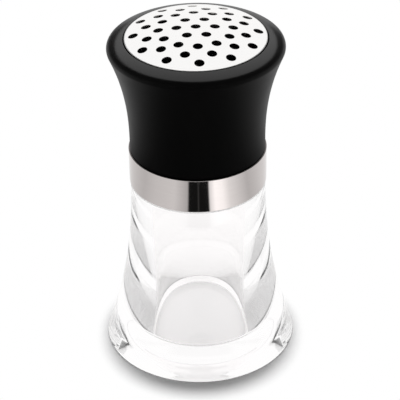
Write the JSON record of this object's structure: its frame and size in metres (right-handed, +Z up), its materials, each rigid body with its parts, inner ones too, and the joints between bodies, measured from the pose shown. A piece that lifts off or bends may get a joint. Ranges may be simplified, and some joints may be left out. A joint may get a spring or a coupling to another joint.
{
  "type": "table spice shaker",
  "caption": "Clear glass spice shaker with a flared foot, and a black flared screw cap with a polished band and a domed, perforated steel plate.",
  "frame": {"origin": "centre of the foot's flat underside, on the shaker's axis", "axes": "+Z up along the axis, towards the perforated plate; the shaker is round, so X and Y are free"},
  "size_m": [0.068, 0.068, 0.1231],
  "materials": {
    "clear_glass": "clear, fire-polished, thick-walled",
    "seal_silicone": "matt, translucent white silicone",
    "insert_plastic": "plain moulded black polypropylene",
    "band_steel": "polished stainless steel strip",
    "cap_plastic": "satin to glossy black ABS moulding",
    "plate_steel": "polished stainless steel, punched and pressed"
  },
  "bodies": {
    "container": {"glass_body": "clear_glass"},
    "seal": {"seal_washer": "seal_silicone"},
    "cap": {"thread_insert": "insert_plastic", "steel_band": "band_steel", "cap_shell": "cap_plastic", "perforated_plate": "plate_steel"}
  },
  "joints": [
    {"name": "cap_lift", "type": "slide", "parent": "container", "child": "seal", "axis": [0, 0, 1], "range_m": [0, 0.0128]},
    {"name": "cap_turn", "type": "hinge", "parent": "seal", "child": "cap", "pos_m": [0, 0, 0.07], "axis": [0, 0, 1], "range_deg": [0, 360]}
  ],
  "couplings": [
    {"joint": "cap_lift", "follows": "cap_turn", "m_per_rad": 0.0020371}
  ]
}
